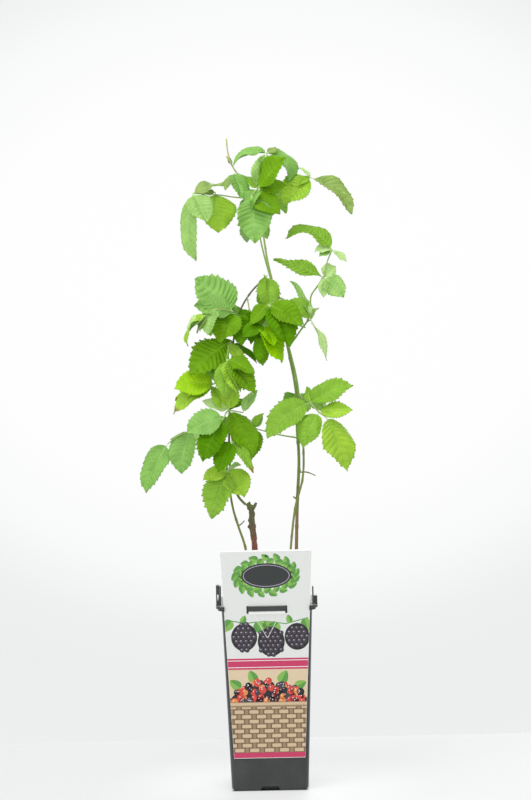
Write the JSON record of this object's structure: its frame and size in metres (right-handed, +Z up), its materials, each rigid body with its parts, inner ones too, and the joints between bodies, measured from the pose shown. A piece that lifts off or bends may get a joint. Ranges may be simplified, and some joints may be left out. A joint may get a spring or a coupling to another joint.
{
  "type": "potted thornless boysenberry",
  "caption": "Young thornless boysenberry with thin arching stems and compound serrated leaves, in a tall square dark plastic pot with a picture card on its front.",
  "frame": {"origin": "centre of the pot's flat underside", "axes": "+Z up, -Y towards the front with the card, +X to the right as seen from the front"},
  "size_m": [0.2359, 0.1495, 0.7091],
  "materials": {
    "pot": "dark anthracite moulded plastic with a soft sheen",
    "peat": "moist dark peat compost",
    "card": "off-white printed card with a satin coat",
    "old_wood": "red-brown bark of last year's stem",
    "green_wood": "smooth green bark, brown-red near the soil",
    "leaves": "fresh green leaves with a soft sheen"
  },
  "bodies": {
    "root": {"pot": "pot", "soil": "peat", "card": "card", "right_stem": "green_wood", "right_thin_stem": "green_wood", "left_thin_stem": "green_wood", "old_stem": "old_wood", "left_shoot": "green_wood", "upper_right_shoot": "green_wood", "crown_tip": "leaves", "crown_small": "leaves", "crown_left": "leaves", "crown_right": "leaves", "upper_right": "leaves", "right_middle": "leaves", "centre_upper": "leaves", "centre": "leaves", "inner": "leaves", "left_upper": "leaves", "left_middle": "leaves", "left_side": "leaves", "left_lower": "leaves", "crossing": "leaves", "left_outer": "leaves", "left_foot": "leaves", "right_lower": "leaves", "back_crown": "leaves", "back_shoulder": "leaves", "back_upper": "leaves", "back_centre": "leaves", "back_middle": "leaves", "back_right": "leaves", "back_lower": "leaves", "back_foot": "leaves"}
  },
  "joints": []
}
